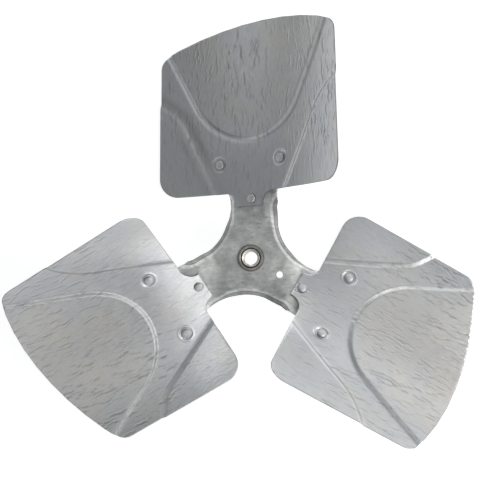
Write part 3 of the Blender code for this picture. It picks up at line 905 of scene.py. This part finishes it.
def spider_surface(points):
    """The spider's front, with its rolled edges and twisted arms, and how near the edge each point is."""
    index, place = arm_places(points)
    inset = rim_inset(points, place)
    share = np.clip(1.0 - inset / RIM_WIDTH, 0.0, 1.0)
    fade = 1.0 - smooth_step(place[:, 1], *FLANGE_FADE)
    beside_flank = 1.0 - (1.0 - FLANK_FLANGE_SHARE) * flank_window(place)
    drop = flange_drop(inset) * fade * beside_flank + flank_drop(place)
    turn = eased(place[:, 1], TWIST_START, TWIST_END, TWIST_EASE)
    local = bent_points(place, -drop, turn)
    result = np.empty_like(local)
    for k in range(BLADES):
        mine = index == k
        result[mine] = turned_about_axis(local[mine], k)
    return result, share * fade


def vertex_normals(points, faces):
    a, b, c = (points[faces[:, i]] for i in range(3))
    face_normals = np.cross(b - a, c - a)
    normals = np.zeros_like(points)
    for i in range(3):
        np.add.at(normals, faces[:, i], face_normals)
    return normals / np.linalg.norm(normals, axis=1)[:, None]


def spider_holes():
    holes = [circle((0.0, 0.0), SPIDER_HOLE_RADIUS, sides=64)]
    index_place = arm_turn(1) @ Vector((0.0, INDEX_HOLE_DISTANCE, 0.0))
    holes.append(circle(index_place.xy, INDEX_HOLE_RADIUS, sides=32))
    for index in range(BLADES):
        for place in (*OUTER_RIVETS, ROOT_RIVET):
            centre = arm_turn(index) @ Vector((*place, 0.0))
            holes.append(circle(centre.xy, RIVET_HOLE_RADIUS, sides=24))
    return holes


def spider_points(outline, holes):
    """Loose points of the spider's mesh: a grid, and closer rings along the rolled edges."""
    grid = staggered_grid(outline, SPIDER_GRID, SPIDER_GRID)
    grid = grid[rim_inset(grid, arm_places(grid)[1]) > RIM_WIDTH + HOLE_MARGIN]
    grid = clear_of(grid, looped(outline), SPIDER_EDGE_MARGIN)
    for hole in holes:
        grid = clear_of(grid, looped(hole), HOLE_MARGIN)
        grid = grid[~inside(hole, grid)]
    loose = grid.tolist()
    sweep = math.radians(RIM_SWEEP)
    for centre in gap_centres():
        start = math.atan2(-centre.y, -centre.x) - sweep / 2.0
        for step in range(1, RIM_RINGS + 2):
            radius = GAP_CIRCLE_RADIUS + step * RIM_WIDTH / RIM_RINGS
            ring = np.array(arc(centre, radius, start, sweep, RIM_STEPS))
            ring = ring[inside(outline, ring)]
            loose += clear_of(ring, looped(outline), HOLE_MARGIN).tolist()
    return loose


def build_spider(material):
    outline = divided(looped(spider_outline()), OUTLINE_STEP)[:-1]
    inset = offset_path(outline, EDGE_ROUND, closed=True)
    holes = spider_holes()
    flat, faces = triangulate(outline, holes, [looped(inset)], spider_points(outline, holes))

    front, rim = spider_surface(flat)
    normals = vertex_normals(front, faces)
    to_edge = np.abs(signed_distances(looped(outline), flat))
    back = front - normals * SPIDER_SHEET
    front -= normals * edge_drop(to_edge)[:, None]
    marks = {"blank": np.column_stack([flat, np.zeros(len(flat))]), "rim": rim}
    piece = sheet_piece("stamped_spider", front, back, faces, marks)
    stand_for(piece, "spider", material)


# Turned pieces

def ring_points(radius, height, sides, square=False):
    """Points round Z at one height, on a circle or on a square of that half-width."""
    points = []
    for i in range(sides):
        angle = 2.0 * math.pi * i / sides
        reach = radius
        if square:
            reach = radius / max(abs(math.cos(angle)), abs(math.sin(angle)))
        points.append((reach * math.cos(angle), reach * math.sin(angle), height))
    return points


def lofted_mesh(name, sections):
    """A closed solid through rings of points; a ring of one point closes an end on the axis."""
    points = []
    rings = []
    for section in sections:
        rings.append(range(len(points), len(points) + len(section)))
        points += section
    pairs = list(zip(rings, rings[1:]))
    if len(rings[0]) > 1:
        pairs.append((rings[-1], rings[0]))
    faces = []
    for lower, upper in pairs:
        sides = max(len(lower), len(upper))
        for i in range(sides):
            k = (i + 1) % sides
            below = [lower[i % len(lower)], lower[k % len(lower)]]
            above = [upper[k % len(upper)], upper[i % len(upper)]]
            faces.append(list(dict.fromkeys(below + above)))
    return new_mesh(name, points, faces)


def turned_mesh(name, profile, sides):
    """A closed solid turned about Z from (radius, height) points."""
    sections = []
    for radius, height in profile:
        on_axis = radius < 1e-9
        sections.append([(0.0, 0.0, height)] if on_axis else ring_points(radius, height, sides))
    return lofted_mesh(name, sections)


def rivet_profile():
    """Half section of a rivet, from the middle of its tail to the top of its head."""
    back = -SPIDER_SHEET - GAP
    front = BLADE_SHEET + 2.0 * GAP
    crown = RIVET_HEAD_HEIGHT - RIVET_HEAD_EDGE
    profile = [(radius, back - depth) for radius, depth in RIVET_TAIL]
    profile += [
        (RIVET_SHANK_RADIUS, back),
        (RIVET_SHANK_RADIUS, front),
        (RIVET_HEAD_RADIUS - RIVET_HEAD_UNDERCUT, front),
    ]
    for i in range(RIVET_HEAD_STEPS):
        angle = math.radians(90.0 * i / RIVET_HEAD_STEPS)
        radius = RIVET_HEAD_RADIUS * math.cos(angle) ** RIVET_HEAD_FULLNESS
        profile.append((radius, front + RIVET_HEAD_EDGE + crown * math.sin(angle)))
    return profile + [(0.0, front + RIVET_HEAD_HEIGHT)]


def build_rivets(material):
    places = {"root": ROOT_RIVET, "leading": OUTER_RIVETS[0], "trailing": OUTER_RIVETS[1]}
    for index in range(BLADES):
        for label, (s, v) in places.items():
            name = f"dome_rivet_{label}_{index + 1}"
            mesh = turned_mesh(name, rivet_profile(), RIVET_SIDES)
            across, height = bent_section(s, 0.0, 1.0)
            angle = math.radians(PITCH) + s / BEND_RADIUS
            tilt = Matrix.Rotation(-angle, 4, "Y")
            mesh.transform(arm_turn(index) @ Matrix.Translation((across, v, height)) @ tilt)
            stand_for(finish_piece(name, mesh), f"rivet_{label}_{index + 1}", material)


def hub_profile():
    """Half section of the hub, from the back of the bore round the outside to its front."""
    chamfer = HUB_BACK_CHAMFER
    edge = HUB_FLANGE_EDGE
    shallow, steep, upright = (math.radians(angle) for angle in (10.0, 70.0, 90.0))
    return [
        (BORE_RADIUS, HUB_BACK + chamfer),
        (BORE_RADIUS + chamfer, HUB_BACK),
        (HUB_BARREL_RADIUS - chamfer, HUB_BACK),
        *arc((HUB_BARREL_RADIUS - chamfer, HUB_BACK + chamfer), chamfer, -steep, steep, 4),
        (HUB_BARREL_RADIUS, -SPIDER_SHEET - GAP),
        (HUB_NECK_RADIUS, -SPIDER_SHEET - GAP),
        (HUB_NECK_RADIUS, GAP),
        (HUB_FLANGE_RADIUS, GAP),
        (HUB_FLANGE_RADIUS, HUB_FLANGE_TOP - edge),
        *arc((HUB_FLANGE_RADIUS - edge, HUB_FLANGE_TOP - edge), edge, shallow, upright - shallow, 5),
        *[(radius, HUB_FLANGE_TOP + height) for radius, height in HUB_FACE],
        (BORE_RADIUS, HUB_FLANGE_TOP - HUB_BORE_CHAMFER),
    ]


def screw_mesh():
    """A square-headed screw along Z, its point towards the bore."""
    start = SCREW_TIP[0][1]
    head_start = SCREW_HEAD[0][1]
    end = SCREW_HEAD[-1][1]
    shank = list(SCREW_TIP)
    place = SCREW_THREAD_START
    while place + SCREW_THREAD_PITCH < head_start:
        shank.append((SCREW_RADIUS, place))
        shank.append((SCREW_RADIUS - SCREW_THREAD_DEPTH, place + SCREW_THREAD_PITCH / 2.0))
        place += SCREW_THREAD_PITCH
    shank.append((SCREW_NECK_RADIUS, head_start))
    rings = [ring_points(radius, place, SCREW_SIDES) for radius, place in shank]
    rings += [ring_points(half, place, SCREW_SIDES, square=True) for half, place in SCREW_HEAD]
    return lofted_mesh("square_head_screw", [[(0.0, 0.0, start)], *rings, [(0.0, 0.0, end)]])


def build_hub(hub_metal, screw_metal):
    mesh = turned_mesh("turned_hub", hub_profile(), HUB_SIDES)
    hub = finish_piece("turned_hub", mesh, sharp_degrees=30.0)
    stand_for(hub, "hub_bushing", hub_metal)
    along = Matrix.Rotation(math.radians(SCREW_ANGLE), 4, "Z") @ Matrix.Rotation(math.radians(90.0), 4, "Y")
    mesh = screw_mesh()
    mesh.transform(Matrix.Translation((0.0, 0.0, SCREW_HEIGHT)) @ along)
    screw = finish_piece("square_head_screw", mesh, sharp_degrees=30.0)
    stand_for(screw, "set_screw", screw_metal)


# Materials

class Look:
    """A material, with a short call for each kind of node that it uses."""

    def __init__(self, name, metallic, roughness):
        self.material = bpy.data.materials.new(name)
        self.material.use_nodes = True
        self.tree = self.material.node_tree
        self.shader = self.tree.nodes["Principled BSDF"]
        self.feed(self.shader, {"Metallic": metallic, "Roughness": roughness})

    def feed(self, item, inputs):
        """Link inputs of a node, by name or number, to sockets, or set them to values."""
        for key, value in inputs.items():
            if isinstance(value, bpy.types.NodeSocket):
                self.tree.links.new(value, item.inputs[key])
            else:
                item.inputs[key].default_value = value

    def node(self, kind, output, inputs, **settings):
        """An output of a new node."""
        item = self.tree.nodes.new(f"ShaderNode{kind}")
        for name, value in settings.items():
            setattr(item, name, value)
        self.feed(item, inputs)
        return item.outputs[output]

    def mark(self, name, output="Fac"):
        """Numbers that a piece keeps on its points."""
        return self.node("Attribute", output, {}, attribute_name=name)

    def place(self):
        return self.node("TexCoord", "Object", {})

    def stretched(self, vector, scale, degrees=0.0):
        turn = (0.0, 0.0, math.radians(degrees))
        return self.node("Mapping", "Vector", {"Vector": vector, "Rotation": turn, "Scale": scale})

    def length(self, vector):
        return self.node("VectorMath", "Value", {0: vector}, operation="LENGTH")

    def squared(self, value):
        return self.node("Math", "Value", {0: value, 1: 2.0}, operation="POWER")

    def noise(self, vector, scale, detail=3.0, roughness=0.5):
        inputs = {"Vector": vector, "Scale": scale, "Detail": detail, "Roughness": roughness}
        return self.node("TexNoise", "Fac", inputs)

    def mapped(self, value, low, high, to_low, to_high):
        inputs = {"Value": value, "From Min": low, "From Max": high, "To Min": to_low, "To Max": to_high}
        return self.node("MapRange", "Result", inputs)

    def ramp(self, value, stops):
        """A colour ramp from (place, colour) stops."""
        item = self.tree.nodes.new("ShaderNodeValToRGB")
        elements = item.color_ramp.elements
        while len(elements) < len(stops):
            elements.new(0.5)
        for element, (place, colour) in zip(elements, stops):
            element.position = place
            element.color = (*colour, 1.0)
        self.feed(item, {"Fac": value})
        return item.outputs["Color"]

    def multiplied(self, colour, *factors):
        """A colour times each factor in turn."""
        for factor in factors:
            inputs = {0: 1.0, 6: colour, 7: factor}
            colour = self.node("Mix", 2, inputs, data_type="RGBA", blend_type="MULTIPLY")
        return colour

    def bump(self, height, strength, distance, under=None):
        inputs = {"Height": height, "Strength": strength, "Distance": distance}
        if under is not None:
            inputs["Normal"] = under
        return self.node("Bump", "Normal", inputs)

    def finished(self, colour, roughness, normal):
        self.feed(self.shader, {"Base Color": colour, "Roughness": roughness, "Normal": normal})
        return self.material


def grey(value):
    return (value, value, value)


def blade_material():
    look = Look("blade_metal", 0.95, 0.33)
    blank = look.mark("blank", "Vector")
    along = look.stretched(blank, (1.0, 0.35, 1.0))
    bluish = (0.547, 0.559, 0.571)
    neutral = (0.565, 0.570, 0.567)
    warm = (0.583, 0.578, 0.560)
    base = look.ramp(look.noise(blank, 27.0, 3.0, 0.55), [(0.34, bluish), (0.52, neutral), (0.68, warm)])
    streaks = look.mapped(look.noise(along, 520.0), 0.3, 0.7, 0.95, 1.04)
    cooler = (0.975, 0.985, 1.0)
    warmer = (1.0, 0.980, 0.958)
    tint = look.ramp(look.mark("in_field"), [(0.0, cooler), (1.0, warmer)])
    # Painted shade in the grain's grooves, darker the deeper the groove
    painted_shade = look.mapped(look.mark("groove"), 0.0, 0.8, 1.0, 0.72)
    # Painted shade on the sheet just outside each rivet's head
    contact_shade = look.mapped(look.mark("to_rivet"), *RIVET_SHADE_REACH, 0.55, 1.0)
    # Painted highlights and painted shade beside the creases and on the beads
    crease_light = look.mapped(look.mark("crease_light"), -1.0, 1.0, 0.0, 2.0)
    # Painted shade along the blade's edge
    rim = look.mapped(look.mark("to_edge"), 0.0, EDGE_SHADE_WIDTH, 0.66, 1.0)
    colour = look.multiplied(base, streaks, tint, painted_shade, contact_shade, crease_light, rim)
    roughness = look.mapped(look.noise(blank, 110.0, 3.0, 0.6), 0.3, 0.7, 0.29, 0.37)
    out = look.node("SeparateXYZ", "Y", {"Vector": blank})
    sag = look.squared(look.mapped(out, *ROOT_BOW_REACH, 1.0, 0.0))
    bow = look.bump(look.mapped(sag, 0.0, 1.0, 0.0, -ROOT_BOW), 1.0, 1.0)
    dents = look.bump(look.noise(along, 260.0, 3.0, 0.6), 0.5, 0.0003, bow)
    fine = look.bump(look.noise(along, 900.0, 4.0, 0.6), 0.25, 0.0002, dents)
    return look.finished(colour, roughness, fine)


def spider_material():
    look = Look("spider_metal", 0.9, 0.56)
    blank = look.mark("blank", "Vector")
    patches = look.noise(blank, 62.0, 6.0, 0.68)
    dark = (0.48, 0.495, 0.495)
    middle = (0.64, 0.65, 0.64)
    light = (0.82, 0.82, 0.80)
    base = look.ramp(patches, [(0.33, dark), (0.50, middle), (0.67, light)])
    slanted = look.stretched(blank, (0.30, 1.0, 1.0), 28.0)
    rubbed = look.mapped(look.noise(slanted, 260.0, 4.0, 0.6), 0.34, 0.66, 0.89, 1.08)
    scratches = look.ramp(look.noise(slanted, 480.0, 2.0), [(0.65, grey(1.0)), (0.69, grey(0.68))])
    # Painted light and shade across the rolled edge: a painted highlight on its ridge, painted shade in its
    # crease, on the flange and at the edge
    plain = [(0.0, grey(0.88))]
    ridge = [(0.14, grey(1.16)), (0.42, grey(1.16))]
    crease = [(0.52, grey(0.42))]
    flange = [(0.60, (0.66, 0.66, 0.65)), (0.90, (0.66, 0.66, 0.65))]
    edge = [(0.97, grey(0.36))]
    rim_light_and_shade = look.ramp(look.mark("rim"), plain + ridge + crease + flange + edge)
    # Painted shadow of the hub's flange on the spider, just outside its edge
    contact_shade = look.mapped(look.length(blank), *FLANGE_SHADOW_REACH, 0.42, 1.0)
    colour = look.multiplied(base, rubbed, scratches, rim_light_and_shade, contact_shade)
    roughness = look.mapped(patches, 0.3, 0.7, 0.60, 0.72)
    dents = look.bump(patches, 0.6, 0.0007)
    fine = look.bump(look.noise(blank, 700.0, 4.0, 0.6), 0.3, 0.0003, dents)
    return look.finished(colour, roughness, fine)


def turned_material(name, dark, light, roughness, scale, fine_scale, painted_shade=None):
    """Mottled metal of a small piece, read in object space, under a layer of painted shade if it has one."""
    look = Look(name, 0.9, roughness)
    place = look.place()
    patches = look.noise(place, scale, 4.0, 0.6)
    colour = look.ramp(patches, [(0.3, dark), (0.7, light)])
    if painted_shade is not None:
        # Painted shade laid over the metal's colour
        colour = look.multiplied(colour, painted_shade(look, place))
    gloss = look.mapped(patches, 0.3, 0.7, roughness - 0.07, roughness + 0.07)
    return look.finished(colour, gloss, look.bump(look.noise(place, fine_scale), 0.2, 0.0002))


def hub_groove_and_rim_shade(look, place):
    """Painted shade in the hub's groove and round its rim, with a duller ring of metal between."""
    radius = look.length(look.stretched(place, (1.0, 1.0, 0.0)))
    out = look.mapped(radius, *HUB_SHADE_REACH, 0.0, 1.0)
    clean = grey(1.0)
    dull = (0.72, 0.71, 0.69)
    black = (0.20, 0.19, 0.18)
    # The black stops are painted shade; the dull stops are the ring's own duller tone
    stops = [(0.38, clean), (0.43, black), (0.52, black), (0.58, dull), (0.84, dull), (0.90, black)]
    return look.ramp(out, stops)


def rivet_material():
    return turned_material("rivet_metal_plain", (0.47, 0.48, 0.49), grey(0.65), 0.50, 300.0, 2400.0)


def hub_material():
    dark = (0.44, 0.42, 0.39)
    light = (0.74, 0.72, 0.68)
    return turned_material("bushing_metal", dark, light, 0.37, 260.0, 2000.0, hub_groove_and_rim_shade)


def screw_material():
    return turned_material("screw_metal", (0.05, 0.05, 0.055), grey(0.12), 0.42, 300.0, 2400.0)


# Camera, lights and floor

def build_camera():
    view = Quaternion(VIEW_TILT).to_matrix() @ Matrix.Rotation(VIEW_ROLL, 3, "Z")
    to_world = view.transposed()
    offset = Vector((-VIEW_OFFSET[0], -VIEW_OFFSET[1], VIEW_DISTANCE)) * PIXEL
    place = Vector((0.0, 0.0, VIEW_CENTRE_HEIGHT)) + to_world @ offset
    data = bpy.data.cameras.new("photo_camera")
    data.sensor_width = SENSOR
    data.lens = VIEW_DISTANCE * SENSOR / PHOTO_WIDTH
    data.clip_start = 0.05
    data.clip_end = 20.0
    camera = new_object("photo_camera", data)
    camera.matrix_world = Matrix.Translation(place) @ to_world.to_4x4()
    bpy.context.scene.camera = camera


def panel(name, azimuth, elevation, kind, power, colour=grey(1.0)):
    """An area light that looks at the object from a direction in degrees."""
    around = math.radians(azimuth)
    above = math.radians(elevation)
    flat_reach = math.cos(above)
    towards = Vector((math.cos(around) * flat_reach, math.sin(around) * flat_reach, math.sin(above)))
    data = bpy.data.lights.new(name, "AREA")
    data.shape = "RECTANGLE"
    distance, data.size, data.size_y = kind
    data.energy = power
    data.color = colour
    light = new_object(name, data)
    light.location = towards * distance
    light.rotation_euler = (-towards).to_track_quat("-Z", "Y").to_euler()


def build_lights():
    world = bpy.data.worlds.new("studio")
    world.use_nodes = True
    background = world.node_tree.nodes["Background"]
    background.inputs["Color"].default_value = (0.96, 0.98, 1.0, 1.0)
    background.inputs["Strength"].default_value = 0.337
    bpy.context.scene.world = world
    cool = (0.86, 0.92, 1.0)
    warm = (1.0, 0.985, 0.965)
    # Distance, width and height of each kind of panel
    low_strip = (2.0, 1.2, 0.5)
    far = (2.0, 0.9, 0.7)
    near = (0.7, 0.35, 0.28)
    panel("right_strip", 45.0, 10.0, low_strip, 1.97)
    panel("upper_strip", 90.0, 10.0, low_strip, 5.43)
    panel("lower_strip", -90.0, 10.0, low_strip, 1.17)
    panel("corner_strip", -45.0, 10.0, low_strip, 1.95)
    panel("upper_right_panel", 60.0, 25.0, far, 0.93)
    panel("left_panel", 150.0, 25.0, far, 1.02, cool)
    panel("lower_panel", -90.0, 25.0, far, 0.77)
    panel("high_right_panel", 45.0, 45.0, far, 0.72)
    panel("high_lower_panel", -90.0, 45.0, far, 0.85)
    panel("near_right_panel", 0.0, 30.0, near, 1.64, warm)
    panel("near_corner_panel", -45.0, 30.0, near, 0.63, warm)
    panel("near_upper_panel", 60.0, 55.0, near, 0.18)
    panel("near_lower_panel", -60.0, 55.0, near, 0.238)


def build_floor():
    """Pale paper that shines evenly under the object and fades a little farther away."""
    low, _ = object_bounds()
    reach = FLOOR_HALF_WIDTH
    height = low[2] - FLOOR_GAP
    corners = [(-reach, -reach), (reach, -reach), (reach, reach), (-reach, reach)]
    mesh = new_mesh("studio_floor", [(x, y, height) for x, y in corners], [(0, 1, 2, 3)])
    floor = new_object("studio_floor", mesh)
    look = Look("floor_paper", 0.0, 0.9)
    away = look.length(look.place())
    look.feed(look.shader, {
        "Base Color": (*grey(0.6), 1.0),
        "Specular IOR Level": 0.0,
        "Emission Color": (*grey(1.0), 1.0),
        "Emission Strength": look.mapped(away, *FLOOR_FADE, FLOOR_GLOW_NEAR, FLOOR_GLOW_FAR),
    })
    mesh.materials.append(look.material)


bpy.context.scene.view_settings.view_transform = "Standard"
build_camera()
build_lights()
build_floor()
build_blades(blade_material())
build_spider(spider_material())
build_rivets(rivet_material())
build_hub(hub_material(), screw_material())
